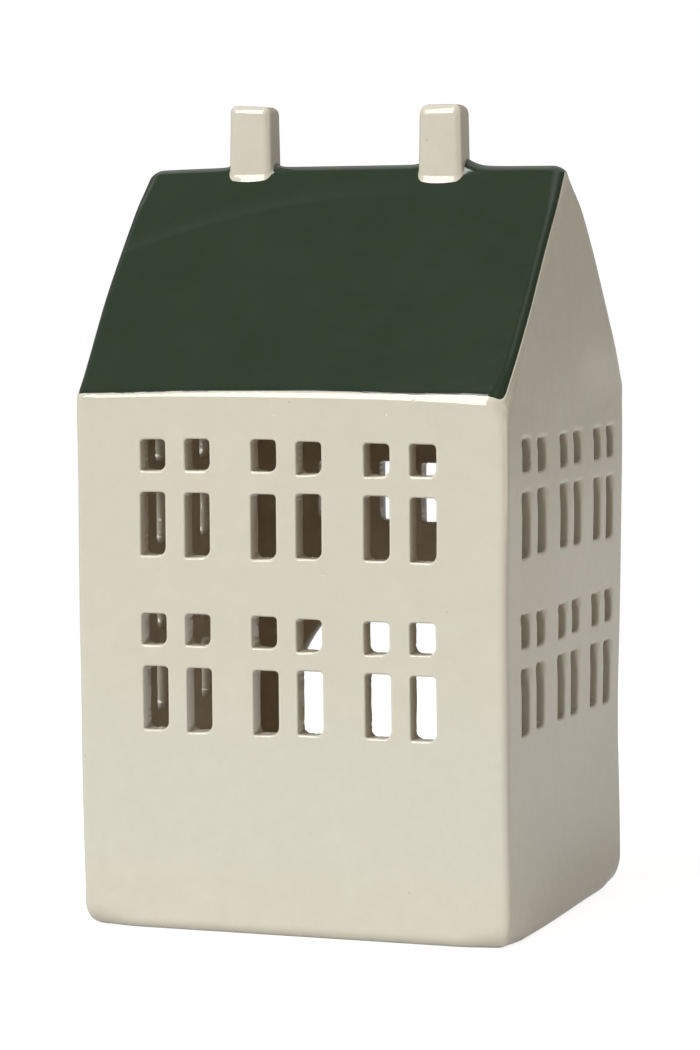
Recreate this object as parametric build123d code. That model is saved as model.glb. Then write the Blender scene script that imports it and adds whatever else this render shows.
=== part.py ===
"""Tealight house: a glazed stoneware house whose tealight slides in through a rear doorway.

The house is made of mitred slabs: four walls, a floor and two roof slabs, with two chimneys
on the ridge. Millimetres, +Z up, front towards -Y, origin at the centre of the base.
"""
from build123d import *
import os
from math import hypot

# House form, given at its outer creases before they are rounded
house_width = 106.8
house_depth = 92.9
eave_height = 126.2
ridge_height = 180.6
crease_radius = 3.0
foot_radius = 2.5

# Slabs
wall_thickness = 5.0
roof_thickness = 5.0
floor_thickness = 5.5

# Windows: each has two columns of panes, a tall pane below a small one
pane_width = 6.6
tall_pane_height = 15.2
small_pane_height = 7.7
transom_height = 4.6
pane_pitch = 11.1
pane_head_radius = 1.8
pane_sill_radius = 1.0
windows_per_storey = 3
panes_per_window = 2
window_head_drop = 10.5
storey_height = 40.9
front_window_margin = 16.85
gable_window_margin = 9.9
front_window_shift = -0.5
right_window_shift = 0.2
left_window_shift = -2.5
rear_window_lift = 2.5

# Rear doorway: straight jambs from the floor, with a round head below the rear panes
doorway_radius = 34.0
doorway_head_gap = 14.8

# Chimneys, sized in plan at their foot
chimney_width = 11.4
chimney_depth = 9.2
chimney_rise = 13.6
chimney_spacing = 48.7
chimney_shift = -1.75
chimney_draft_degrees = 1.2
chimney_corner_radius = 1.8
chimney_top_radius = 1.5

# Tealight
cup_base_radius = 18.4
cup_mouth_radius = 19.2
cup_height = 16.0
cup_sheet = 0.3
cup_heel_radius = 1.2
cup_rim_width = 0.5
cup_rim_height = 0.6
wax_height = 13.0
wax_dish_depth = 0.8
wick_radius = 0.9
wick_length = 20.0
tab_radius = 6.5
tab_thickness = 0.4
tab_neck_wall = 0.5
tab_neck_height = 4.0

# Fits and cuts
seat_clearance = 0.2
cast_clearance = 0.05
cut_overrun = 2.0

# Derived house geometry
roof_slope = (ridge_height - eave_height) / (house_depth / 2)
roof_drop = roof_thickness * hypot(1, roof_slope)

# Derived windows and doorway, hung from the eave
window_width = pane_width + (panes_per_window - 1) * pane_pitch
window_height = tall_pane_height + transom_height + small_pane_height
upper_sill_height = eave_height - window_head_drop - window_height
lower_sill_height = upper_sill_height - storey_height
rear_sill_height = upper_sill_height + rear_window_lift
doorway_spring_height = rear_sill_height - doorway_head_gap - doorway_radius


def house_corners(half_width, half_depth, base_z, eave_z, ridge_z):
    """Corners of a gabled form, keyed by the sides that meet there."""
    corners = {}
    for side, x in (("left", -half_width), ("right", half_width)):
        corners[side, "ridge"] = (x, 0, ridge_z)
        for face, y in (("front", -half_depth), ("rear", half_depth)):
            corners[side, face, "base"] = (x, y, base_z)
            corners[side, face, "eave"] = (x, y, eave_z)
    return corners


outer_corners = house_corners(
    house_width / 2,
    house_depth / 2,
    0,
    eave_height,
    ridge_height,
)
inner_corners = house_corners(
    house_width / 2 - wall_thickness,
    house_depth / 2 - wall_thickness,
    floor_thickness,
    eave_height + roof_slope * wall_thickness - roof_drop,
    ridge_height - roof_drop,
)


def wall_outline(face):
    """Outline of the front or rear wall."""
    return [
        ("left", face, "base"),
        ("right", face, "base"),
        ("right", face, "eave"),
        ("left", face, "eave"),
    ]


def gable_outline(side):
    """Outline of a gable wall."""
    return [
        (side, "front", "base"),
        (side, "rear", "base"),
        (side, "rear", "eave"),
        (side, "ridge"),
        (side, "front", "eave"),
    ]


def roof_outline(face):
    """Outline of a roof slab."""
    return [
        ("left", face, "eave"),
        ("right", face, "eave"),
        ("right", "ridge"),
        ("left", "ridge"),
    ]


floor_outline = [
    ("left", "front", "base"),
    ("right", "front", "base"),
    ("right", "rear", "base"),
    ("left", "rear", "base"),
]
slab_outlines = {
    "front_wall": wall_outline("front"),
    "rear_wall": wall_outline("rear"),
    "left_gable_wall": gable_outline("left"),
    "right_gable_wall": gable_outline("right"),
    "floor_slab": floor_outline,
    "front_roof_slab": roof_outline("front"),
    "rear_roof_slab": roof_outline("rear"),
}


def polyhedron(polygons):
    """Closed solid from flat polygons."""
    return Solid(Shell([Face(Wire.make_polygon(points)) for points in polygons]))


def make_house_form():
    """Outer form of the house as one block, with its creases rounded."""
    form = polyhedron([
        [outer_corners[key] for key in outline]
        for outline in slab_outlines.values()
    ])
    base_edges = form.edges().group_by(Axis.Z)[0]
    creases = [edge for edge in form.edges() if edge not in base_edges]
    form = form.fillet(crease_radius, creases)
    return form.fillet(foot_radius, form.edges().group_by(Axis.Z)[0])


house_form = make_house_form()


def past_outer(outer, inner):
    """Point past an outer corner, on the mitre line from the inner corner."""
    return Vector(outer) + (Vector(outer) - Vector(inner)) * (cut_overrun / wall_thickness)


def mitred_slab(name):
    """Slab between the inner form and the outer one, with edges mitred towards its neighbours."""
    outline = slab_outlines[name]
    inner = [inner_corners[key] for key in outline]
    outer = [past_outer(outer_corners[key], inner_corners[key]) for key in outline]
    edges = [
        [outer[i - 1], outer[i], inner[i], inner[i - 1]]
        for i in range(len(outline))
    ]
    return polyhedron([outer, inner, *edges]) & house_form


# Outer face of each wall, seen from outside with X to the right and Y up
front_face = Plane((0, -house_depth / 2, 0), x_dir=(1, 0, 0), z_dir=(0, -1, 0))
rear_face = Plane((0, house_depth / 2, 0), x_dir=(-1, 0, 0), z_dir=(0, 1, 0))
left_face = Plane((-house_width / 2, 0, 0), x_dir=(0, -1, 0), z_dir=(-1, 0, 0))
right_face = Plane((house_width / 2, 0, 0), x_dir=(0, 1, 0), z_dir=(1, 0, 0))


def pane(height):
    """Pane outline standing on its sill, with a softer head than sill."""
    outline = Pos(0, height / 2) * Rectangle(pane_width, height)
    sill_corners = outline.vertices().group_by(Axis.Y)[0]
    outline = fillet(sill_corners, pane_sill_radius)
    head_corners = outline.vertices().group_by(Axis.Y)[-1]
    return fillet(head_corners, pane_head_radius)


def row_centres(pitch, count):
    """Evenly spaced places centred on zero."""
    return [(i - (count - 1) / 2) * pitch for i in range(count)]


def pane_cut(face, wall_length, margin, sill_heights, shift):
    """Cutter for every pane of the windows in one wall."""
    window_pitch = (wall_length - 2 * margin - window_width) / (windows_per_storey - 1)
    panes = []
    for sill in sill_heights:
        small_sill = sill + tall_pane_height + transom_height
        for window_x in row_centres(window_pitch, windows_per_storey):
            for pane_x in row_centres(pane_pitch, panes_per_window):
                x = shift + window_x + pane_x
                panes.append(Pos(x, sill) * pane(tall_pane_height))
                panes.append(Pos(x, small_sill) * pane(small_pane_height))
    return wall_cut(face, Sketch() + panes)


def wall_cut(face, outline):
    """Cutter that runs through a wall along its face's normal."""
    return extrude(face * outline, wall_thickness + cut_overrun, both=True)


def doorway_cut():
    """Cutter for the round-headed doorway, level with the floor."""
    jamb_height = doorway_spring_height - floor_thickness
    jambs = Pos(0, floor_thickness + jamb_height / 2) * Rectangle(2 * doorway_radius, jamb_height)
    head = Pos(0, doorway_spring_height) * Circle(doorway_radius)
    below = Pos(0, doorway_spring_height - doorway_radius) * Rectangle(
        2 * doorway_radius, 2 * doorway_radius
    )
    return wall_cut(rear_face, jambs + (head - below))


def chimney(x):
    """Chimney that straddles the ridge, cut to the roof below it."""
    foot_z = ridge_height - roof_slope * chimney_depth
    plan = RectangleRounded(chimney_width, chimney_depth, chimney_corner_radius)
    rise = ridge_height + chimney_rise - foot_z
    stack = extrude(Pos(x, 0, foot_z) * plan, rise, taper=chimney_draft_degrees)
    top_edges = stack.edges().group_by(Axis.Z)[-1]
    return fillet(top_edges, chimney_top_radius) - house_form


def turned(profile):
    """Solid of revolution about Z from (radius, height) points, standing on the cup's seat."""
    outline = make_face(Plane.XZ * Polyline(*profile, close=True))
    return Pos(0, 0, floor_thickness + seat_clearance) * revolve(outline, Axis.Z)


def cup_inner_radius(height):
    """Inside radius of the tapered cup at a height above its base."""
    share = height / cup_height
    return cup_base_radius - cup_sheet + share * (cup_mouth_radius - cup_base_radius)


def make_cup():
    """Drawn cup with a turned-out rim."""
    rim_z = cup_height - cup_rim_height
    cup = turned([
        (0, 0),
        (cup_base_radius, 0),
        (cup_inner_radius(rim_z) + cup_sheet, rim_z),
        (cup_mouth_radius + cup_rim_width, rim_z),
        (cup_mouth_radius + cup_rim_width, cup_height),
        (cup_inner_radius(cup_height), cup_height),
        (cup_inner_radius(cup_sheet), cup_sheet),
        (0, cup_sheet),
    ])
    circles = cup.edges().filter_by(GeomType.CIRCLE)
    heel_edge = circles.group_by(Axis.Z)[0]
    cup = fillet(heel_edge, cup_heel_radius)
    inner_heel = [
        edge for edge in cup.edges().filter_by(GeomType.CIRCLE)
        if abs(edge.radius - cup_inner_radius(cup_sheet)) < cast_clearance
    ]
    return fillet(inner_heel, cup_heel_radius - cup_sheet)


neck_bore = wick_radius + cast_clearance
neck_radius = neck_bore + tab_neck_wall
neck_top = cup_sheet + tab_neck_height


def make_wick_tab():
    """Wick holder: a disc on the cup's floor with a neck round the wick."""
    return turned([
        (neck_bore, cup_sheet),
        (tab_radius, cup_sheet),
        (tab_radius, cup_sheet + tab_thickness),
        (neck_radius, cup_sheet + tab_thickness),
        (neck_radius, neck_top),
        (neck_bore, neck_top),
    ])


def make_wax():
    """Wax cast round the wick and its tab, dished towards the wick."""
    tab_top = cup_sheet + tab_thickness + cast_clearance
    return turned([
        (tab_radius + cast_clearance, cup_sheet),
        (cup_inner_radius(cup_sheet) - cup_heel_radius, cup_sheet),
        (cup_inner_radius(cup_heel_radius) - cast_clearance, cup_sheet + cup_heel_radius),
        (cup_inner_radius(wax_height) - cast_clearance, wax_height),
        (neck_bore, wax_height - wax_dish_depth),
        (neck_bore, neck_top + cast_clearance),
        (neck_radius + cast_clearance, neck_top + cast_clearance),
        (neck_radius + cast_clearance, tab_top),
        (tab_radius + cast_clearance, tab_top),
    ])


def make_wick():
    """Straight wick from the cup's floor to above the wax."""
    return turned([
        (0, cup_sheet),
        (wick_radius, cup_sheet),
        (wick_radius, cup_sheet + wick_length),
        (0, cup_sheet + wick_length),
    ])


def front_pane_cut(face, sill_heights, shift):
    """Cutter for panes set out on the front wall's pattern."""
    return pane_cut(face, house_width, front_window_margin, sill_heights, shift)


def gable_pane_cut(face, shift):
    """Cutter for a gable's panes."""
    return pane_cut(face, house_depth, gable_window_margin, both_sills, shift)


both_sills = [lower_sill_height, upper_sill_height]
left_chimney_x, right_chimney_x = [
    chimney_shift + place for place in row_centres(chimney_spacing, 2)
]

nodes = {name: mitred_slab(name) for name in slab_outlines}
nodes["front_wall"] -= front_pane_cut(front_face, both_sills, front_window_shift)
nodes["rear_wall"] -= front_pane_cut(rear_face, [rear_sill_height], -front_window_shift)
nodes["rear_wall"] -= doorway_cut()
nodes["left_gable_wall"] -= gable_pane_cut(left_face, -left_window_shift)
nodes["right_gable_wall"] -= gable_pane_cut(right_face, right_window_shift)
nodes["left_chimney"] = chimney(left_chimney_x)
nodes["right_chimney"] = chimney(right_chimney_x)
nodes["tealight_cup"] = make_cup()
nodes["tealight_wax"] = make_wax()
nodes["tealight_wick"] = make_wick()
nodes["wick_tab"] = make_wick_tab()

os.makedirs("parts", exist_ok=True)
for name, shape in nodes.items():
    export_step(shape, f"parts/{name}.step")
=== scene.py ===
"""A glazed stoneware tealight house and its tealight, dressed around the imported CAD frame."""

import math

import bpy
import numpy as np
from mathutils import Matrix, Vector


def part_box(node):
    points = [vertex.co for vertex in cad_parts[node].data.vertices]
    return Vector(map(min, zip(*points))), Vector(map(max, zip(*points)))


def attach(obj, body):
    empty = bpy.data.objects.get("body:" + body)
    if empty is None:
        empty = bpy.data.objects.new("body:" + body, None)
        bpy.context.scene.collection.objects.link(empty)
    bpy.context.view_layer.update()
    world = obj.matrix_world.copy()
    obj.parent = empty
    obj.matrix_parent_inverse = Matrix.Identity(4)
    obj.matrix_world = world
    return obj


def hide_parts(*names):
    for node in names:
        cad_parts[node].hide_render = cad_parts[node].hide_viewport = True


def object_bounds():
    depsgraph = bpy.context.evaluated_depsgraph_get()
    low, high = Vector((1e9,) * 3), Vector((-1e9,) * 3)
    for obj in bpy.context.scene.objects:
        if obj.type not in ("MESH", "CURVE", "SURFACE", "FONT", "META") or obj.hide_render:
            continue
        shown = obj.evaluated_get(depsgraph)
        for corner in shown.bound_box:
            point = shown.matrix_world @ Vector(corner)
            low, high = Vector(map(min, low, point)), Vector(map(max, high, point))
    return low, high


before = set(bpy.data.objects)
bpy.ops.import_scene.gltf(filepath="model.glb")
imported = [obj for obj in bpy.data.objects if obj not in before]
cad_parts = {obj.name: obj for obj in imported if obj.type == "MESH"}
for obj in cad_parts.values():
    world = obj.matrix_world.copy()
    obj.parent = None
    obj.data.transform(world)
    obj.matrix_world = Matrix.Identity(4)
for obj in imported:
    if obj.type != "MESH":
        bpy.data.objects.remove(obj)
cad_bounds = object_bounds()

# Forms are worked out in millimetres, in the frame's own axes, and turned to metres when a mesh is made.
MM = 0.001

# House form
side_trim = 0.3
half_width = cad_bounds[1][0] / MM - side_trim
half_depth = cad_bounds[1][1] / MM
eave_height = 126.2
ridge_height = 180.6
eave_radius = 2.15
eave_radius_middle = 0.6
eave_radius_right = 1.6
ridge_radius = 3.2
verge_radius = 3.0
rear_verge_radius = 1.4
apex_roundings = (1.4, 1.1)
corner_radius = 2.0
eave_corner = 2.5
foot_rounding = 3.2
corner_foot = 3.0
rear_foot = 3.0
wall_thickness = 5.0
floor_thickness = 5.5
inner_rounding = 3.0

# Panes
pane_width = 6.6
pane_pitch = 11.1
window_pitch = 27.7
outer_windows = 1
tall_pane = 15.2
small_pane = 7.7
transom = 4.6
storey_height = 40.9
upper_sill = eave_height - 10.5 - small_pane - transom - tall_pane
rear_lift = 2.5


def storey_rows(sill):
    """Sill and height of the tall and the small panes of one storey."""
    return ((sill, tall_pane), (sill + tall_pane + transom, small_pane))


pane_rows = storey_rows(upper_sill - storey_height) + storey_rows(upper_sill)
rear_pane_rows = storey_rows(upper_sill + rear_lift)
front_window_shift = -0.15
rear_window_shift = -0.5
right_window_shift = 1.3
right_window_lift = 0.7
left_window_shift = -2.5
pane_corner = 1.1
sill_corners = (0.5, 2.0)
pooled_corner = 1.8
pane_coat = 0.2
pane_ragged = 0.08
sill_sag = 0.35
front_lips = (0.5, 0.5)
right_lips = (0.6, 1.5)
other_lips = (0.7, 0.7)
inner_lip = 0.6
cut_reach = 2.0

# Rear doorway
doorway_radius = 34.0
doorway_spring = upper_sill + rear_lift - 14.8 - doorway_radius
doorway_lip = 2.4

# Glaze line between roof and walls
eave_glaze_share = -0.18
eave_glaze_dip = 0.45
verge_glaze_line = 0.7
verge_lip = 0.12
roof_coat = 0.3
coat_roll = 0.5
eave_coat = 0.06
eave_roll = 0.1
coat_overlap = 1.2
rebate = 0.5

# Chimneys
chimney_draft = math.tan(math.radians(1.2))
chimney_face_draft = math.tan(math.radians(0.2))
chimney_corner = 1.8
chimney_rear_softness = 1.4
chimney_top_rounding = {"left_chimney": 1.8, "right_chimney": 2.3}
chimney_top_slope = {"left_chimney": 0.06, "right_chimney": 0.0}
chimney_top_lift = {"left_chimney": -0.1, "right_chimney": -0.45}
chimney_push = {"left_chimney": 0.15, "right_chimney": -0.5}
chimney_bow = 0.2
chimney_root = 2.5
bead_width = 0.42
bead_reach = 0.36
fillet_height = 1.1
fillet_decay = 0.8
right_fillet_height = 1.5
right_fillet_decay = 2.6
fillet_depth = 2.2
fillet_change = (20, 29)

# Hand-made unevenness
lean_foot = 0.25
lean_rate = -1.1 / 115
right_lean = 0.5
rear_dent = -0.8
rear_dent_height = 45
rear_dent_reach = 27
rear_swell = 0.55
rear_slump = 0.9
rear_slump_reach = 8
left_flare = 1.2
left_bulge = 0.4
left_bulge_height = 155
left_bulge_reach = 14
right_flare = 0.2
eave_bow = 0.85
eave_drop = 0.68
ridge_lift = 0.4
left_end_drop = 0.7
left_end_start = 30
left_end_curve = 1.3
right_sag = 0.7
right_sag_change = (26, 33)


def smooth_max(a, b, reach):
    """The larger of two distances, with the crease between them rounded over reach."""
    blend = np.clip(reach - np.abs(a - b), 0, None) / reach
    return np.maximum(a, b) + blend * blend * reach / 4


def round_max(a, b, radius):
    """Signed distance to a rounded corner, from the distances to its sides moved in by the radius."""
    outside = np.hypot(np.maximum(a, 0), np.maximum(b, 0))
    return outside + np.minimum(np.maximum(a, b), 0) - radius


def ease(value, low, high):
    """A smooth step from 0 at low to 1 at high."""
    t = np.clip((value - low) / (high - low), 0, 1)
    return t * t * (3 - 2 * t)


def to_segment(y, z, start, end):
    """Distance in the gable's plane to the segment from start to end."""
    run_y = end[0] - start[0]
    run_z = end[1] - start[1]
    along = ((y - start[0]) * run_y + (z - start[1]) * run_z) / (run_y * run_y + run_z * run_z)
    along = np.clip(along, 0, 1)
    return np.hypot(y - start[0] - along * run_y, z - start[1] - along * run_z)


roof_run = math.hypot(half_depth, ridge_height - eave_height)
roof_normal_y = (ridge_height - eave_height) / roof_run
roof_normal_z = half_depth / roof_run
roof_offset = roof_normal_y * half_depth + roof_normal_z * eave_height
below_base = -25.0


def roof_plane(y, z):
    """Height above the roof's plane, the same on both slopes."""
    return roof_normal_y * np.abs(y) + roof_normal_z * z - roof_offset


def gable_profile(y, z, inset):
    """Signed distance to the gable's outline, moved in by inset and carried on below the base."""
    side = half_depth - inset
    eave = (roof_offset - inset - roof_normal_y * side) / roof_normal_z
    ridge = (roof_offset - inset) / roof_normal_z
    depth = np.abs(y)
    within = np.maximum(np.maximum(depth - side, roof_plane(y, z) + inset), below_base - z)
    corners = ((0, below_base), (side, below_base), (side, eave), (0, ridge))
    outside = to_segment(depth, z, corners[0], corners[1])
    for start, end in zip(corners[1:], corners[2:]):
        outside = np.minimum(outside, to_segment(depth, z, start, end))
    return np.where(within < 0, within, outside)


def eave_radius_at(x):
    """The eave's rounding, which grows from left to right."""
    share = x / half_width
    radius = eave_radius + eave_radius_middle * ease(share, -0.6, 0)
    return radius + eave_radius_right * ease(share, 0.5, 1)


def house_form(x, y, z):
    """Signed distance to the outside: a pentagonal prism with rounded creases and a softer foot."""
    eave = eave_radius_at(x)
    crease = eave + (ridge_radius - eave) * ease(z, eave_height + 8, ridge_height - 12)
    verge = verge_radius + (rear_verge_radius - verge_radius) * ease(y, 0, 12)
    apex = apex_roundings[0] + (apex_roundings[1] - apex_roundings[0]) * ease(x, -20, 20)
    verge = verge + apex * ease(z, ridge_height - 12, ridge_height - 2)
    corner = corner_radius + (verge - corner_radius) * ease(z, eave_height - 8, eave_height + 6)
    front_right = ease(x, 0, 30) * ease(-y, 0, 20)
    corner = corner + eave_corner * np.exp(-np.square((z - eave_height) / 5)) * front_right
    profile = gable_profile(y, z, crease) - crease + corner
    side = np.abs(x) - half_width + corner
    body = round_max(profile, side, corner)
    near_corner = ease(np.abs(x), half_width - 14, half_width)
    near_corner = near_corner * ease(np.abs(y), half_depth - 14, half_depth)
    at_rear_right = ease(x, half_width - 13, half_width) * ease(y, -20, 40)
    return smooth_max(body, -z, foot_rounding + corner_foot * near_corner + rear_foot * at_rear_right)


def chamber(x, y, z):
    """Signed distance to the hollow inside, open below for the floor."""
    profile = gable_profile(y, z, wall_thickness)
    return smooth_max(profile, np.abs(x) - (half_width - wall_thickness), inner_rounding)


def uneven(x, y, z):
    """The hand-built house's slight lean, bows and slumps, as moved coordinates."""
    below_eave = 1 - ease(z, eave_height - 5, ridge_height - 15)
    at_eave = ease(z, eave_height - 40, eave_height) * (1 - ease(z, eave_height + 5, ridge_height - 10))
    in_roof = ease(z, eave_height - 4, eave_height + 24)
    at_ridge = ease(z, eave_height + 14, ridge_height)
    share = x / half_width
    at_right = ease(x, 20, half_width)
    shift = (lean_foot + lean_rate * z) * below_eave * ease(-y, 5, 44)
    shift = shift + right_lean * ease(z, 70, 110) * below_eave * at_right
    dented = np.exp(-np.square((z - rear_dent_height) / rear_dent_reach))
    shift = shift + rear_dent * dented * ease(x, 10, 50) * ease(y, -30, 30)
    in_gable = ease(z, eave_height - 5, eave_height + 13)
    in_gable = in_gable * (1 - ease(z, ridge_height - 10, ridge_height - 2))
    shift = shift + rear_swell * in_gable * at_right * ease(y, 0, 20)
    at_left = ease(-x, 20, half_width)
    shift = shift + in_roof * (right_flare * at_right - left_flare * at_left)
    shift = shift - left_bulge * np.exp(-np.square((z - left_bulge_height) / left_bulge_reach)) * at_left
    lift = (eave_bow * (1 - np.square(share)) - eave_drop) * at_eave
    to_left_end = np.clip((-x - left_end_start) / (half_width - left_end_start), 0, 1)
    drop = left_end_drop * np.power(to_left_end, left_end_curve) + right_sag * ease(x, *right_sag_change)
    lift = lift + (ridge_lift - drop) * at_ridge
    bow_x = 0.12 * np.sin(z / 19.0 + y / 31.0 + 0.6) + 0.05 * np.sin(z / 8.3 - y / 11.0)
    bow_y = 0.15 * np.sin(x / 23.0 + z / 27.0 + 1.9) + 0.05 * np.sin(x / 9.1 + z / 12.0)
    bow_y = bow_y + rear_slump * np.exp(-np.square((z - eave_height) / rear_slump_reach)) * ease(y, 10, 40)
    bow_z = 0.1 * np.sin(x / 21.0 + y / 17.0 + 2.6)
    rise = ease(z, 0, 14)
    return x - shift + bow_x * rise, y + bow_y * rise, z - lift + bow_z * rise


def pane_cut(u, z, depth, shift, rows, seed):
    """Signed distance to one wall's panes, and height within one; u runs along the wall, depth inwards."""
    window = np.clip(np.round((u - shift) / window_pitch), -outer_windows, outer_windows)
    local = u - shift - window * window_pitch
    column = 2 * window + np.sign(local)
    inward = ease(depth, 0.8, wall_thickness)
    ragged = np.sin(2.3 * z + 1.7 * u + seed) * np.sin(1.9 * z - 2.6 * u)
    ragged = ragged + 0.6 * np.sin(4.1 * z + 3.3 * u)
    cut = np.full(np.shape(u), 50.0)
    level = np.zeros(np.shape(u))
    for row, (sill, height) in enumerate(rows):
        nudge = np.sin(12.9 * column + 7.7 * row + seed)
        nudge_z = np.sin(5.3 * column + 3.1 * row + 2 * seed)
        offset = (np.abs(local) - pane_pitch / 2) * np.sign(local) + 0.18 * nudge
        across = np.abs(offset)
        rise = z - sill - height / 2 + 0.18 * nudge_z
        low_left = ease(-offset, -pane_width / 2, pane_width / 2)
        low_left = low_left * ease(-rise, height / 2 - 3, height / 2)
        rise = rise + sill_sag * np.maximum(nudge_z, 0) * low_left * (1 - inward)
        sill_corner = np.where(offset < 0, *sill_corners)
        low_corner = sill_corner + (pooled_corner - sill_corner) * inward
        corner = np.where(rise < 0, low_corner, pane_corner)
        side = across - pane_width / 2 + corner
        end = np.abs(rise) - height / 2 + corner
        pane = round_max(side, end, corner)
        level = np.where(pane < cut, rise / height + 0.5, level)
        cut = np.minimum(cut, pane)
    cut = cut + pane_coat + pane_ragged * ragged * inward
    return np.maximum(cut, depth - wall_thickness - cut_reach), level


def doorway_cut(x, z, depth):
    """Signed distance to the round-headed opening in the rear wall."""
    arch = np.hypot(x, np.maximum(z - doorway_spring, 0)) - doorway_radius
    arch = np.maximum(arch, floor_thickness - z)
    return np.maximum(arch, depth - wall_thickness - cut_reach)


def carve(solid, x, y, z):
    """Cuts every pane and the doorway out of the shell, with rounded lips outside and inside."""
    walls = (
        ((y < 0), x, half_depth + y, front_window_shift, 0.0, pane_rows, front_lips, 0.0),
        ((y > 0), x, half_depth - y, rear_window_shift, 0.0, rear_pane_rows, other_lips, 1.3),
        ((x > 0), y, half_width - x, right_window_shift, right_window_lift, pane_rows, right_lips, 2.1),
        ((x < 0), y, half_width + x, left_window_shift, 0.0, pane_rows, other_lips, 3.7),
    )
    for facing, along, depth, shift, lift, rows, (sill_lip, head_lip), seed in walls:
        near = facing & (depth < wall_thickness + cut_reach + 2)
        within = depth[near]
        cut, level = pane_cut(along[near], z[near] - lift, within, shift, rows, seed)
        outer_lip = sill_lip + (head_lip - sill_lip) * ease(level, 0.6, 0.95)
        lip = inner_lip + (outer_lip - inner_lip) * (1 - ease(within, 1.5, 3.5))
        solid[near] = smooth_max(solid[near], -cut, lip)
    rear = (y > 0) & (half_depth - y < wall_thickness + cut_reach + 2)
    cut = doorway_cut(x[rear], z[rear], half_depth - y[rear])
    solid[rear] = smooth_max(solid[rear], -cut, doorway_lip)
    return solid


def roof_region(x, y, z):
    """Negative on the roof's side of the glaze line and of the mitre behind it."""
    depth = -roof_plane(y, z)
    wander = 0.08 * np.sin(x / 17.0 + 0.8) + 0.05 * np.sin(x / 5.3)
    wander = wander - eave_glaze_dip * ease(x, half_width - 6, half_width - 1)
    eave = depth - (half_depth - np.abs(y)) - eave_glaze_share * eave_radius_at(x) + wander
    verge = depth - (half_width - np.abs(x)) - verge_glaze_line + 0.08 * np.sin(y / 6.0 + z / 9.0)
    return smooth_max(eave, verge, 2.0) / math.sqrt(2)


def walls_field(x, y, z):
    x, y, z = uneven(x, y, z)
    region = roof_region(x, y, z)
    lip = verge_lip * np.exp(-np.square((region - 0.25) / 0.3))
    lip = lip * ease(np.abs(x), half_width - 6, half_width - 3)
    outer = house_form(x, y, z) + rebate * ease(-region, 0.05, 0.45) - lip
    shell = smooth_max(outer, -chamber(x, y, z), 0.4)
    shell = carve(shell, x, y, z)
    return smooth_max(shell, -region - coat_overlap, 0.3)


def roof_field(x, y, z):
    wide = ease(x, *fillet_change)
    decay = fillet_decay + (right_fillet_decay - fillet_decay) * wide
    climb = np.exp(-np.maximum(chimney_solid(x, y, z, 0), 0) / decay)
    climb = climb * np.exp(-np.square(y / fillet_depth))
    climb = climb * (fillet_height + (right_fillet_height - fillet_height) * wide)
    x, y, z = uneven(x, y, z)
    thin = 1 - ease(z, eave_height - 10, ridge_height - 10)
    outer = house_form(x, y, z) - roof_coat - (eave_coat - roof_coat) * thin
    roll = coat_roll + (eave_roll - coat_roll) * thin
    slab = smooth_max(outer, roof_region(x, y, z), roll) - climb
    return smooth_max(slab, -chamber(x, y, z), 0.4)


chimney_boxes = {}
for chimney_node in ("left_chimney", "right_chimney"):
    low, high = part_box(chimney_node)
    chimney_boxes[chimney_node] = (np.array(low) / MM, np.array(high) / MM)


def chimney_solid(x, y, z, swell):
    """Signed distance to the two drafted stacks, carried on down below the ridge."""
    stacks = np.full(np.shape(x), 50.0)
    for node, (low, high) in chimney_boxes.items():
        middle = (low + high) / 2
        half_x = (high[0] - low[0]) / 2
        half_y = (high[1] - low[1]) / 2
        away_x = x - middle[0]
        away_y = y - middle[1] - chimney_push[node]
        above = z - ridge_height
        corner = chimney_corner + chimney_rear_softness * ease(away_y, 0, half_y)
        side_x = np.abs(away_x) - half_x + chimney_draft * above + corner
        side_y = np.abs(away_y) - half_y + chimney_face_draft * above + corner
        side_y = side_y + chimney_bow * np.square(away_x / half_x)
        pooled = 0.4 + 0.7 * np.maximum(0, 1 - np.square(away_x / half_x))
        stack = round_max(side_x, side_y, corner) - swell * pooled
        rounding = chimney_top_rounding[node]
        top = z - high[2] - chimney_top_lift[node] + chimney_top_slope[node] * away_x + rounding
        stacks = np.minimum(stacks, round_max(stack + rounding, top, rounding))
    return stacks


def chimneys_field(x, y, z):
    above = house_form(*uneven(x, y, z)) - roof_coat
    bead = bead_width * np.exp(-np.square(np.maximum(above, 0) / bead_reach))
    stack = chimney_solid(x, y, z, bead)
    return smooth_max(stack, -above - chimney_root, 0.4)


def floor_field(x, y, z):
    plate_x = np.abs(x) - (half_width - wall_thickness + 0.8)
    plate_y = np.abs(y) - (half_depth - wall_thickness + 0.8)
    plate = smooth_max(plate_x, plate_y, 1.0)
    middle = floor_thickness / 2
    sag = 0.12 * np.sin(x / 15.0) * np.sin(y / 13.0)
    return smooth_max(plate, np.abs(z - middle - 0.15) - middle + 0.15 + sag * ease(z, 2, 4), 0.8)


# Meshes from the forms


stretch_start = eave_height - 8.7
stretch_end = eave_height - 6.5


def graded_lines(low, high, coarse, marks, growth=0.45):
    """Grid lines from low to high, fine at the marks (place, half width, spacing) and coarse elsewhere."""
    marks = np.array(marks)
    lines = [low]
    while lines[-1] < high:
        away = np.maximum(np.abs(marks[:, 0] - lines[-1]) - marks[:, 1], 0)
        lines.append(lines[-1] + min(coarse, np.min(marks[:, 2] + growth * away)))
    return np.array(lines)


def roof_climb(y):
    """How far the roof's plane stands above the eave at depth y."""
    return (half_depth - np.minimum(np.abs(y), half_depth)) * roof_normal_y / roof_normal_z


def level_plain(y, level):
    return level


def level_with_roof(y, level):
    return level + roof_climb(y)


def level_to_roof(y, level):
    """Level below the panes' heads, then stretched upwards until it runs along the roof."""
    return level + roof_climb(y) * np.clip((level - stretch_start) / (stretch_end - stretch_start), 0, 1)


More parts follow.
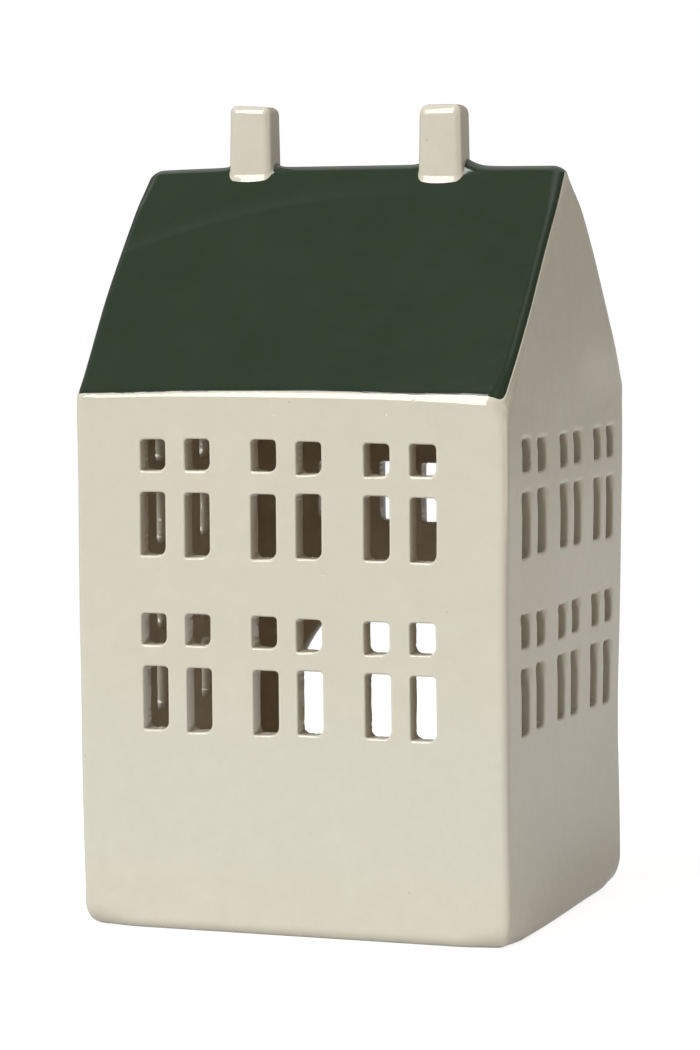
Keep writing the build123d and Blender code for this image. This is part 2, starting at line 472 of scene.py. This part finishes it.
def surface_net(field, lines, height):
    """Points and quads of the surface where field is zero, on a grid of lines along x, y and the levels."""
    shape = tuple(len(line) for line in lines)
    values = np.empty(shape, np.float32)
    for i in range(shape[0]):
        x, y, level = np.meshgrid(lines[0][i : i + 1], lines[1], lines[2], indexing="ij")
        values[i : i + 1] = field(x, y, height(y, level))
    solid = values < 0
    cells = tuple(n - 1 for n in shape)
    count = np.zeros(cells, np.int8)
    for corner in np.ndindex(2, 2, 2):
        count += solid[tuple(slice(c, c + n) for c, n in zip(corner, cells))]
    mixed = (count > 0) & (count < 8)
    number = np.full(cells, -1, np.int64)
    number[mixed] = np.arange(mixed.sum())
    total = np.zeros((mixed.sum(), 3))
    weight = np.zeros(mixed.sum())
    quads = []
    for axis in range(3):
        lower = [slice(None)] * 3
        upper = [slice(None)] * 3
        lower[axis] = slice(None, -1)
        upper[axis] = slice(1, None)
        crossing = solid[tuple(lower)] != solid[tuple(upper)]
        places = np.array(np.nonzero(crossing))
        start = values[tuple(lower)][crossing]
        share = start / (start - values[tuple(upper)][crossing])
        points = np.stack([line[place] for line, place in zip(lines, places)], 1)
        ahead = lines[axis][places[axis] + 1]
        points[:, axis] += share * (ahead - points[:, axis])
        side, top = (axis + 1) % 3, (axis + 2) % 3
        ring = []
        for back_side, back_top in ((1, 1), (0, 1), (0, 0), (1, 0)):
            cell = places.copy()
            cell[side] -= back_side
            cell[top] -= back_top
            found = number[tuple(cell)]
            ring.append(found)
            weight += np.bincount(found, minlength=len(weight))
            for k in range(3):
                total[:, k] += np.bincount(found, points[:, k], minlength=len(weight))
        ring = np.stack(ring, 1)
        leaving = start < 0
        quads.append(np.where(leaving[:, None], ring, ring[:, ::-1]))
    points = total / weight[:, None]
    points[:, 2] = height(points[:, 1], points[:, 2])
    return points, np.concatenate(quads)


def slope_of(field, points, reach):
    """Field at the points, its gradient and the sum of its second differences, over reach."""
    here = field(*points.T)
    gradient = np.empty_like(points)
    bend = -6 * here
    for axis in range(3):
        step = np.zeros(3)
        step[axis] = reach
        ahead = field(*(points + step).T)
        behind = field(*(points - step).T)
        gradient[:, axis] = (ahead - behind) / (2 * reach)
        bend = bend + ahead + behind
    return here, gradient, bend / reach**2


def new_mesh(name, points, faces, normals=None):
    """A mesh piece from millimetre points, smooth shaded."""
    mesh = bpy.data.meshes.new(name)
    mesh.from_pydata((np.asarray(points) * MM).tolist(), [], faces)
    mesh.update()
    mesh.polygons.foreach_set("use_smooth", np.ones(len(mesh.polygons), bool))
    if normals is not None:
        mesh.normals_split_custom_set_from_vertices(normals.tolist())
    piece = bpy.data.objects.new(name, mesh)
    bpy.context.scene.collection.objects.link(piece)
    return piece


def add_attribute(piece, name, values):
    layer = piece.data.attributes.new(name, "FLOAT", "POINT")
    layer.data.foreach_set("value", np.asarray(values, np.float32))


edge_reach = 0.7
settle_steps = 3
largest_step = 0.25


def form_piece(name, field, lines, height=level_plain):
    """A closed piece on the zero of field, with edges, inside and reveals marked as point attributes."""
    points, quads = surface_net(field, lines, height)
    for _ in range(settle_steps):
        here, gradient, _ = slope_of(field, points, 0.03)
        steep = np.maximum(np.sum(gradient * gradient, 1), 0.2)
        move = -(here / steep)[:, None] * gradient
        length = np.maximum(np.linalg.norm(move, axis=1, keepdims=True), 1e-9)
        points = points + move * np.minimum(1, largest_step / length)
    _, gradient, _ = slope_of(field, points, 0.05)
    normals = gradient / np.maximum(np.linalg.norm(gradient, axis=1, keepdims=True), 1e-9)
    piece = new_mesh(name, points, quads.tolist(), normals)
    _, _, bend = slope_of(field, points, edge_reach)
    add_attribute(piece, "edge", np.clip(bend, -1.5, 1.5))
    moved = uneven(*points.T)
    add_attribute(piece, "inside", ease(-chamber(*moved), -1.2, -0.1))
    add_attribute(piece, "reveal", ease(-house_form(*moved), 0.4, 3.5))
    return piece


def pane_marks(shift, fine, reach=1.3):
    marks = []
    for window in range(-outer_windows, outer_windows + 1):
        for side in (-1, 1):
            middle = shift + window * window_pitch + side * pane_pitch / 2
            for edge in (-1, 1):
                marks.append((middle + edge * pane_width / 2, reach, fine))
    return marks


def wall_marks(half, fine):
    marks = []
    for side in (-1, 1):
        marks.append((side * (half - 1.2), 2.0, fine))
        marks.append((side * (half - wall_thickness), 0.7, fine))
    return marks


pane_fine = 0.42
row_marks = []
for sill, height in pane_rows + rear_pane_rows:
    for level in (sill, sill + height):
        row_marks.append((level, 1.3, pane_fine))
foot_marks = [(1.0, 2.0, 0.7), (floor_thickness, 0.8, 0.5)]
stretch_marks = [((stretch_start + stretch_end) / 2, 1.1, 0.11)]
crest_marks = [(eave_height - 0.8, 3.0, 0.3)]
ridge_marks = [(0, 5.0, 0.6)]
house_x = half_width + 2.5
house_y = half_depth + 2
top_level = eave_height + 4

front_marks = pane_marks(front_window_shift, pane_fine)
gable_marks = pane_marks(right_window_shift, pane_fine) + pane_marks(left_window_shift, pane_fine)
walls_lines = (
    graded_lines(-house_x, house_x, 3.0, front_marks + wall_marks(half_width, 0.35)),
    graded_lines(-house_y, house_y, 3.0, gable_marks + wall_marks(half_depth, 0.35) + ridge_marks),
    graded_lines(-1.5, top_level, 3.0, row_marks + foot_marks + stretch_marks + crest_marks),
)
walls = form_piece("walls", walls_field, walls_lines, level_to_roof)

chimney_x_marks = []
for low, high in chimney_boxes.values():
    chimney_x_marks += [(low[0], 2.0, 0.4), (high[0], 2.0, 0.4)]
roof_lines = (
    graded_lines(-house_x, house_x, 1.6, wall_marks(half_width, 0.25) + chimney_x_marks),
    graded_lines(-house_y, house_y, 1.3, wall_marks(half_depth, 0.25) + [(0, 6.0, 0.4)]),
    graded_lines(eave_height - 14, top_level, 1.0, [(eave_height - 0.8, 3.2, 0.25)]),
)
roof = form_piece("roof", roof_field, roof_lines, level_with_roof)


def one_chimney(name, node):
    low, high = chimney_boxes[node]
    fine = 0.22
    level_marks = [(ridge_height - 5, 6, fine), (high[2] - 1, 2.0, fine)]
    lines = (
        graded_lines(low[0] - 4, high[0] + 4, 0.9, [(low[0], 2.5, fine), (high[0], 2.5, fine)]),
        graded_lines(low[1] - 4, high[1] + 4, 0.9, [(low[1], 2.5, fine), (high[1], 2.5, fine)]),
        graded_lines(ridge_height - 16, high[2] + 1.5, 0.9, level_marks),
    )
    return form_piece(name, chimneys_field, lines)


stack_left = one_chimney("stack_left", "left_chimney")
stack_right = one_chimney("stack_right", "right_chimney")

floor_lines = (
    graded_lines(-half_width, half_width, 3.0, wall_marks(half_width - 4.2, 0.5)),
    graded_lines(-half_depth, half_depth, 3.0, wall_marks(half_depth - 4.2, 0.5)),
    graded_lines(-1, floor_thickness + 1, 1.0, [(0.5, 0.6, 0.3), (floor_thickness - 0.3, 0.6, 0.3)]),
)
floor_plate = form_piece("floor_plate", floor_field, floor_lines)

# Tealight


def lathe(name, profile, segments, dent=None):
    """A turned piece from a closed profile of (radius, height); dent changes the radius round it."""
    angles = np.arange(segments) * 2 * math.pi / segments
    points = []
    for radius, height in profile:
        swing = radius if dent is None else radius + dent(angles, radius, height)
        level = np.full(segments, height)
        points.append(np.stack([swing * np.cos(angles), swing * np.sin(angles), level], 1))
    rings = len(profile)
    faces = []
    for ring in range(rings):
        first = ring * segments
        following = (ring + 1) % rings * segments
        for i in range(segments):
            j = (i + 1) % segments
            faces.append((first + i, first + j, following + j, following + i))
    return new_mesh(name, np.concatenate(points), faces)


def arc(middle_r, middle_z, radius, start, end, steps):
    turn = np.radians(np.linspace(start, end, steps))
    return [(middle_r + radius * math.cos(a), middle_z + radius * math.sin(a)) for a in turn]


cup_low, cup_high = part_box("tealight_cup")
wax_low, wax_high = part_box("tealight_wax")
wick_low, wick_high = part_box("tealight_wick")
cup_base = cup_low.z / MM
cup_top = cup_high.z / MM
rim_radius = cup_high.x / MM
mouth_radius = 19.2
foot_radius = 18.4
sheet = 0.3
heel = 1.2
flutes = 60
centre_hole = 0.02


def cup_dent(angles, radius, height):
    """Fine drawn flutes in the cup's side, fading to the heel and the rim."""
    side = ease(height, cup_base + 2, cup_base + 5) * (1 - ease(height, cup_top - 4, cup_top - 1.5))
    return 0.07 * np.cos(flutes * angles) * side * ease(radius, 16, 18)


def cup_profile():
    """Outline of the drawn cup, up the outside, over the rolled rim and down the inside."""
    outside = [(centre_hole, cup_base), (8, cup_base), (8.6, cup_base + 0.25), (16.2, cup_base + 0.25)]
    outside += arc(foot_radius - heel, cup_base + heel, heel, -80, 0, 7)
    for share in np.linspace(0.12, 0.9, 14):
        radius = foot_radius + (mouth_radius - foot_radius) * share
        outside.append((radius, cup_base + heel + (cup_top - cup_base - heel - 0.6) * share))
    bead = (rim_radius - mouth_radius) / 2 + 0.15
    outside += arc(rim_radius - bead, cup_top - bead, bead, -110, 150, 12)
    inside = []
    for share in np.linspace(0.95, 0.1, 14):
        radius = foot_radius + (mouth_radius - foot_radius) * share - sheet
        inside.append((radius, cup_base + heel + (cup_top - cup_base - heel - 0.6) * share))
    inside += arc(foot_radius - heel, cup_base + heel, heel - sheet, 0, -80, 6)
    inside += [(8.6, cup_base + sheet + 0.25), (8, cup_base + sheet), (centre_hole, cup_base + sheet)]
    return outside + inside


cup = lathe("cup", cup_profile(), 240, cup_dent)

wax_floor = wax_low.z / MM
wax_crest = wax_high.z / MM
wax_radius = wax_high.x / MM
wick_tip = wick_high.z / MM


def wax_height(radius):
    """Top of the poured wax: dished by shrinkage, with a skin that climbs the cup and the wick."""
    share = radius / wax_radius
    dish = 0.8 * (1 - share**2)
    ring = 0.06 * math.cos(radius * 1.5)
    wick_skin = 0.7 * math.exp(-((radius / 1.7) ** 2))
    return wax_crest - dish + ring * (1 - share) + wick_skin - 0.15


wax_profile = [(centre_hole, wax_floor)]
wax_profile += [(wax_radius - 1.6, wax_floor), (wax_radius - 1.0, wax_floor + 0.5)]
wax_profile += [(wax_radius - 0.75, wax_floor + 2.0), (wax_radius - 0.4, wax_crest - 5)]
wax_profile += [(wax_radius, wax_crest - 0.05)]
for radius in np.linspace(wax_radius - 0.15, centre_hole, 44):
    wax_profile.append((radius, wax_height(radius)))
wax = lathe("wax", wax_profile, 128)


def braided_wick(name):
    """Three plaited strands round a slightly curled core, ending in a trimmed tip."""
    strands, turns, rings, around = 3, 7.0, 90, 12
    low = wick_low.z / MM + 0.05
    points, faces = [], []
    for strand in range(strands):
        first = len(points)
        for ring in range(rings):
            share = ring / (rings - 1)
            phase = 2 * math.pi * (strand / strands + turns * share)
            height = low + (wick_tip - low) * share
            curl = 0.55 * ease(share, 0.72, 1.0) * share
            middle = np.array([curl + 0.34 * math.cos(phase), 0.34 * math.sin(phase), height])
            size = 0.52 * (1 - 0.25 * float(ease(share, 0.93, 1.0)))
            for i in range(around):
                angle = 2 * math.pi * i / around
                fray = 1 + 0.06 * math.sin(5 * angle + 40 * share + strand)
                points.append(middle + size * fray * np.array([math.cos(angle), math.sin(angle), 0]))
        for ring in range(rings - 1):
            for i in range(around):
                j = (i + 1) % around
                row = first + ring * around
                faces.append((row + i, row + j, row + around + j, row + around + i))
        for ring, order in ((0, -1), (rings - 1, 1)):
            faces.append([first + ring * around + i for i in range(around)][::order])
    return new_mesh(name, points, faces)


wick = braided_wick("wick")

# Materials


class Wiring:
    """Short calls that add nodes to a node tree; a value may be a number or another node's socket."""

    def __init__(self, tree):
        self.nodes = tree.nodes
        self.links = tree.links

    def link(self, value, socket):
        if isinstance(value, bpy.types.NodeSocket):
            self.links.new(value, socket)
        else:
            socket.default_value = value

    def span(self, value, low, high, to_low=0.0, to_high=1.0):
        node = self.nodes.new("ShaderNodeMapRange")
        node.interpolation_type = "SMOOTHSTEP"
        names = ("Value", "From Min", "From Max", "To Min", "To Max")
        for name, number in zip(names, (value, low, high, to_low, to_high)):
            self.link(number, node.inputs[name])
        return node.outputs["Result"]

    def combine(self, operation, *values):
        node = self.nodes.new("ShaderNodeMath")
        node.operation = operation
        for value, socket in zip(values, node.inputs):
            self.link(value, socket)
        return node.outputs["Value"]


class Paint(Wiring):
    """A node material with one Principled shader and calls for the patterns that feed it."""

    def __init__(self, name):
        self.material = bpy.data.materials.new(name)
        self.material.use_nodes = True
        super().__init__(self.material.node_tree)
        self.shader = self.nodes["Principled BSDF"]
        self.place = self.nodes.new("ShaderNodeTexCoord").outputs["Object"]

    def noise(self, scale, detail=2.0, stretch=None):
        node = self.nodes.new("ShaderNodeTexNoise")
        node.inputs["Scale"].default_value = scale
        node.inputs["Detail"].default_value = detail
        place = self.place
        if stretch is not None:
            mapping = self.nodes.new("ShaderNodeMapping")
            mapping.inputs["Scale"].default_value = stretch
            self.links.new(place, mapping.inputs["Vector"])
            place = mapping.outputs["Vector"]
        self.links.new(place, node.inputs["Vector"])
        return node.outputs["Fac"]

    def spots(self, scale):
        """Distance from the nearest spot, and a random value for each spot."""
        node = self.nodes.new("ShaderNodeTexVoronoi")
        node.inputs["Scale"].default_value = scale
        self.links.new(self.place, node.inputs["Vector"])
        split = self.nodes.new("ShaderNodeSeparateColor")
        self.links.new(node.outputs["Color"], split.inputs["Color"])
        return node.outputs["Distance"], split.outputs["Red"]

    def attribute(self, name):
        node = self.nodes.new("ShaderNodeAttribute")
        node.attribute_name = name
        return node.outputs["Fac"]

    def axis(self, name):
        split = self.nodes.new("ShaderNodeSeparateXYZ")
        self.links.new(self.place, split.inputs["Vector"])
        return split.outputs[name]

    def mix(self, share, a, b):
        node = self.nodes.new("ShaderNodeMix")
        node.data_type = "RGBA"
        self.link(share, node.inputs["Factor"])
        for value, socket in ((a, node.inputs[6]), (b, node.inputs[7])):
            self.link(value if isinstance(value, bpy.types.NodeSocket) else (*value, 1.0), socket)
        return node.outputs[2]

    def bump(self, height, strength, distance, normal=None):
        node = self.nodes.new("ShaderNodeBump")
        node.inputs["Strength"].default_value = strength
        node.inputs["Distance"].default_value = distance
        self.links.new(height, node.inputs["Height"])
        if normal is not None:
            self.links.new(normal, node.inputs["Normal"])
        return node.outputs["Normal"]

    def set(self, **values):
        for name, value in values.items():
            self.link(value, self.shader.inputs[name.replace("_", " ")])

    def wear(self, piece):
        piece.data.materials.clear()
        piece.data.materials.append(self.material)


def specks(paint, scale, size, kept):
    """Scattered round specks: 1 in the middle of each kept one."""
    distance, choice = paint.spots(scale)
    dot = paint.span(distance, size, size * 0.45)
    return paint.combine("MULTIPLY", dot, paint.span(choice, kept, kept - 0.03))


def cream_glaze():
    paint = Paint("cream glaze")
    cloud = paint.span(paint.noise(55, 3), 0.38, 0.62)
    colour = paint.mix(cloud, (0.690, 0.643, 0.532), (0.666, 0.645, 0.535))
    streak = paint.span(paint.noise(80, 2, (1, 1, 0.12)), 0.35, 0.65)
    colour = paint.mix(paint.combine("MULTIPLY", streak, 0.5), colour, (0.668, 0.625, 0.518))
    patch = paint.span(paint.noise(170, 2), 0.4, 0.6)
    colour = paint.mix(paint.combine("MULTIPLY", patch, 0.5), colour, (0.652, 0.618, 0.508))
    height = paint.axis("Z")
    thick = paint.combine("MULTIPLY", paint.span(height, 0.07, 0.04), paint.span(height, 0.006, 0.02))
    colour = paint.mix(paint.combine("MULTIPLY", thick, 0.6), colour, (0.656, 0.654, 0.564))
    fine = paint.span(paint.noise(420, 3), 0.3, 0.7)
    colour = paint.mix(paint.combine("MULTIPLY", fine, 0.12), colour, (0.60, 0.55, 0.44))
    # Lighter on convex edges: partly a paler glaze where it runs thin, partly a painted highlight along the
    # lips and corners.
    edge = paint.span(paint.attribute("edge"), 0.25, 1.0)
    colour = paint.mix(paint.combine("MULTIPLY", edge, 0.15), colour, (0.78, 0.74, 0.64))
    iron = specks(paint, 210, 0.09, 0.16)
    colour = paint.mix(paint.combine("MULTIPLY", iron, 0.3), colour, (0.36, 0.30, 0.22))
    inside = paint.attribute("inside")
    reveal = paint.attribute("reveal")
    colour = paint.mix(paint.combine("MULTIPLY", reveal, 0.45), colour, (0.52, 0.43, 0.33))
    bare = paint.mix(paint.span(paint.noise(150, 4), 0.3, 0.7), (0.70, 0.59, 0.44), (0.60, 0.50, 0.365))
    colour = paint.mix(inside, colour, bare)
    foot = paint.span(height, 0.0006, 0.0001)
    colour = paint.mix(foot, colour, bare)
    dull = paint.combine("MAXIMUM", inside, foot)
    gloss = paint.span(paint.noise(130, 2), 0.3, 0.7, 0.05, 0.11)
    gloss = paint.span(dull, 0.0, 1.0, gloss, 0.72)
    peel = paint.bump(paint.noise(260, 2), 0.10, 0.0006)
    pits = specks(paint, 260, 0.12, 0.3)
    normal = paint.bump(paint.combine("SUBTRACT", 1.0, pits), 0.15, 0.0003, peel)
    paint.set(Base_Color=colour, Roughness=gloss, Normal=normal, IOR=1.5)
    return paint


# The lighter arc on the roof, in metres
roof_arc_middle = 0.015
roof_arc_crest = 0.1729
roof_arc_curve = 3.0


def lighter_roof_arc(paint):
    """A soft lighter arc below the ridge, fading to the right."""
    across = paint.axis("X")
    along = paint.combine("SUBTRACT", across, roof_arc_middle)
    fall = paint.combine("MULTIPLY", paint.combine("MULTIPLY", along, along), roof_arc_curve)
    crest = paint.combine("SUBTRACT", roof_arc_crest, fall)
    above = paint.combine("SUBTRACT", paint.axis("Z"), crest)
    band = paint.combine("MULTIPLY", paint.span(above, -0.001, 0.0), paint.span(above, 0.004, 0.0005))
    return paint.combine("MULTIPLY", band, paint.span(across, 0.035, -0.02))


def green_glaze():
    paint = Paint("green glaze")
    cloud = paint.span(paint.noise(60, 3), 0.35, 0.65)
    colour = paint.mix(cloud, (0.0222, 0.037, 0.0185), (0.0252, 0.040, 0.0205))
    tint = paint.span(paint.noise(190, 3), 0.4, 0.6)
    colour = paint.mix(paint.combine("MULTIPLY", tint, 0.6), colour, (0.0222, 0.0395, 0.0225))
    # A soft lighter arc below the ridge, fading to the right.
    colour = paint.mix(paint.combine("MULTIPLY", lighter_roof_arc(paint), 0.5), colour, (0.037, 0.051, 0.034))
    # Darker along convex edges, chiefly the coat's rolled edge: partly thicker glaze there, partly painted
    # shade for the dark line along it.
    edge = paint.span(paint.attribute("edge"), 0.2, 0.9)
    colour = paint.mix(paint.combine("MULTIPLY", edge, 0.3), colour, (0.012, 0.018, 0.010))
    pale = specks(paint, 230, 0.08, 0.04)
    colour = paint.mix(paint.combine("MULTIPLY", pale, 0.08), colour, (0.20, 0.22, 0.17))
    inside = paint.attribute("inside")
    bare = paint.mix(paint.span(paint.noise(150, 4), 0.3, 0.7), (0.70, 0.59, 0.44), (0.60, 0.50, 0.365))
    colour = paint.mix(inside, colour, bare)
    gloss = paint.span(paint.noise(120, 2), 0.3, 0.7, 0.08, 0.13)
    gloss = paint.span(inside, 0.0, 1.0, gloss, 0.75)
    peel = paint.bump(paint.noise(240, 2), 0.10, 0.0006)
    paint.set(Base_Color=colour, Roughness=gloss, Normal=peel, IOR=1.5)
    return paint


def drawn_aluminium():
    paint = Paint("drawn aluminium")
    streak = paint.span(paint.noise(900, 2, (1, 1, 0.08)), 0.3, 0.7)
    colour = paint.mix(streak, (0.80, 0.81, 0.82), (0.91, 0.92, 0.93))
    gloss = paint.span(paint.noise(300, 3), 0.3, 0.7, 0.22, 0.36)
    normal = paint.bump(streak, 0.08, 0.0002)
    paint.set(Base_Color=colour, Roughness=gloss, Normal=normal, Metallic=1.0)
    return paint


def candle_wax():
    paint = Paint("candle wax")
    cloud = paint.span(paint.noise(140, 4), 0.3, 0.7)
    colour = paint.mix(cloud, (0.90, 0.885, 0.83), (0.95, 0.94, 0.90))
    gloss = paint.span(paint.noise(380, 3), 0.3, 0.7, 0.32, 0.5)
    normal = paint.bump(paint.noise(320, 3), 0.15, 0.0004)
    paint.set(Base_Color=colour, Roughness=gloss, Normal=normal)
    paint.set(Subsurface_Weight=0.35, Subsurface_Scale=0.002)
    return paint


def wick_cotton():
    paint = Paint("wick cotton")
    strand = paint.span(paint.noise(2600, 2, (1, 1, 0.35)), 0.3, 0.7)
    colour = paint.mix(strand, (0.80, 0.77, 0.68), (0.92, 0.90, 0.83))
    normal = paint.bump(strand, 0.4, 0.0002)
    gloss = paint.span(strand, 0.0, 1.0, 0.6, 0.8)
    paint.set(Base_Color=colour, Roughness=gloss, Normal=normal)
    return paint


def tinned_steel():
    paint = Paint("tinned steel")
    streak = paint.span(paint.noise(700, 2, (0.1, 1, 1)), 0.3, 0.7)
    colour = paint.mix(streak, (0.62, 0.62, 0.61), (0.74, 0.74, 0.73))
    gloss = paint.span(streak, 0.0, 1.0, 0.28, 0.42)
    paint.set(Base_Color=colour, Roughness=gloss, Normal=paint.bump(streak, 0.1, 0.0001), Metallic=1.0)
    return paint


cream = cream_glaze()
for piece in (walls, floor_plate, stack_left, stack_right):
    cream.wear(piece)
green_glaze().wear(roof)
drawn_aluminium().wear(cup)
candle_wax().wear(wax)
wick_cotton().wear(wick)
tinned_steel().wear(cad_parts["wick_tab"])

# Bodies, replaced nodes and slots
rides = (
    (walls, "house", "wall_glaze", ("front_wall", "rear_wall", "left_gable_wall", "right_gable_wall")),
    (floor_plate, "house", "wall_glaze", ("floor_slab",)),
    (roof, "house", "roof_glaze", ("front_roof_slab", "rear_roof_slab")),
    (stack_left, "house", "wall_glaze", ("left_chimney",)),
    (stack_right, "house", "wall_glaze", ("right_chimney",)),
    (cup, "tealight", "cup_aluminium", ("tealight_cup",)),
    (wax, "tealight", "candle_wax", ("tealight_wax",)),
    (wick, "tealight", "wick_cotton", ("tealight_wick",)),
)
for piece, body, finish_slot, nodes in rides:
    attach(piece, body)
    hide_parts(*nodes)

# Floor and light
floor_size = 1.6


def pale_floor():
    """A white floor that keeps the shadow and fades into the white surroundings away from the house."""
    corner = floor_size / 2
    mesh = bpy.data.meshes.new("floor")
    square = [(-corner, -corner, 0), (corner, -corner, 0), (corner, corner, 0), (-corner, corner, 0)]
    mesh.from_pydata(square, [], [(0, 1, 2, 3)])
    floor = bpy.data.objects.new("floor", mesh)
    bpy.context.scene.collection.objects.link(floor)
    paint = Paint("floor white")
    nodes, links = paint.nodes, paint.links
    shade = paint.mix(paint.span(paint.noise(6, 2), 0.3, 0.7), (0.55, 0.55, 0.55), (0.57, 0.57, 0.57))
    paint.set(Base_Color=shade, Roughness=0.8, Specular_IOR_Level=0.0)
    path = nodes.new("ShaderNodeLightPath").outputs
    direct = paint.combine("MAXIMUM", path["Is Camera Ray"], path["Is Transmission Ray"])
    lift = paint.combine("MULTIPLY", direct, 0.85)
    lift = paint.combine("MAXIMUM", lift, paint.combine("MULTIPLY", path["Is Glossy Ray"], 0.3))
    paint.set(Emission_Color=(1.0, 1.0, 1.0, 1.0), Emission_Strength=lift)
    away = nodes.new("ShaderNodeVectorMath")
    away.operation = "LENGTH"
    links.new(paint.place, away.inputs[0])
    clear = nodes.new("ShaderNodeBsdfTransparent")
    fade = nodes.new("ShaderNodeMixShader")
    links.new(paint.span(away.outputs["Value"], 0.3, 0.7), fade.inputs["Fac"])
    links.new(paint.shader.outputs["BSDF"], fade.inputs[1])
    links.new(clear.outputs["BSDF"], fade.inputs[2])
    links.new(fade.outputs["Shader"], nodes["Material Output"].inputs["Surface"])
    floor.data.materials.append(paint.material)
    return floor


pale_floor()

fill_level = 0.27


def studio_world():
    """Even fill. The camera sees white; reflections see a grey room with a bright panel overhead."""
    world = bpy.data.worlds.new("studio")
    bpy.context.scene.world = world
    world.use_nodes = True
    wiring = Wiring(world.node_tree)
    nodes, links = wiring.nodes, wiring.links
    span, combine = wiring.span, wiring.combine
    fill = nodes["Background"]
    fill.inputs["Color"].default_value = (1.0, 0.96, 0.89, 1.0)
    fill.inputs["Strength"].default_value = fill_level
    split = nodes.new("ShaderNodeSeparateXYZ")
    links.new(nodes.new("ShaderNodeTexCoord").outputs["Generated"], split.inputs["Vector"])
    sideways, backwards, upwards = split.outputs
    reach = span(combine("MULTIPLY_ADD", sideways, 0.4, backwards), -0.25, 0.05)
    panel = combine("MULTIPLY", reach, span(upwards, 0.45, 0.65))
    panel = combine("MULTIPLY", panel, span(sideways, 0.65, 0.35))
    room = combine("ADD", span(upwards, -0.1, 0.0, 0.42, 0.0), span(upwards, 0.12, 0.4, 0.3, 0.2))
    path = nodes.new("ShaderNodeLightPath").outputs
    direct = combine("MAXIMUM", path["Is Camera Ray"], path["Is Transmission Ray"])
    seen = nodes.new("ShaderNodeBackground")
    seen.inputs["Color"].default_value = (1.0, 1.0, 1.0, 1.0)
    links.new(combine("MAXIMUM", combine("MAXIMUM", room, panel), direct), seen.inputs["Strength"])
    choose = nodes.new("ShaderNodeMixShader")
    links.new(combine("MAXIMUM", direct, path["Is Glossy Ray"]), choose.inputs["Fac"])
    links.new(fill.outputs["Background"], choose.inputs[1])
    links.new(seen.outputs["Background"], choose.inputs[2])
    links.new(choose.outputs["Shader"], nodes["World Output"].inputs["Surface"])


studio_world()


def softbox(name, azimuth, elevation, distance, size, power, colour=(1.0, 1.0, 1.0)):
    """A rectangular lamp that faces the house; azimuth 0 is in front, positive to the right."""
    lamp = bpy.data.lights.new(name, "AREA")
    lamp.color = colour
    lamp.shape = "RECTANGLE"
    lamp.size, lamp.size_y = size
    lamp.energy = power
    turn, tilt = math.radians(azimuth), math.radians(elevation)
    towards = Vector((math.sin(turn) * math.cos(tilt), -math.cos(turn) * math.cos(tilt), math.sin(tilt)))
    holder = bpy.data.objects.new(name, lamp)
    holder.location = Vector((0, 0, 0.1)) + distance * towards
    holder.rotation_euler = towards.to_track_quat("Z", "Y").to_euler()
    bpy.context.scene.collection.objects.link(holder)


softbox("key", -21, 38, 3.0, (0.9, 3.6), 96.0)
softbox("fill", 82, 6, 1.3, (0.8, 0.5), 2.6, (1.0, 0.92, 0.82))

# Camera at the photograph's place
camera_place = Vector((0.30877, -0.83960, 0.15966))
camera_aim = Vector((-0.00185, -0.00069, 0.09295))
camera_roll = math.radians(-0.2763)
picture_height = 1050
focal_pixels = 3705.375
sensor_height = 36.0

lens = bpy.data.cameras.new("camera")
lens.sensor_fit = "VERTICAL"
lens.sensor_height = sensor_height
lens.lens = focal_pixels / picture_height * sensor_height
lens.clip_start = 0.01
camera = bpy.data.objects.new("camera", lens)
ahead = (camera_aim - camera_place).normalized()
right = ahead.cross(Vector((0, 0, 1))).normalized()
up = right.cross(ahead)
tilted_right = right * math.cos(camera_roll) + up * math.sin(camera_roll)
tilted_up = up * math.cos(camera_roll) - right * math.sin(camera_roll)
facing = Matrix((tilted_right, tilted_up, -ahead)).transposed()
camera.matrix_world = Matrix.Translation(camera_place) @ facing.to_4x4()
bpy.context.scene.collection.objects.link(camera)
bpy.context.scene.camera = camera
bpy.context.scene.view_settings.view_transform = "Standard"
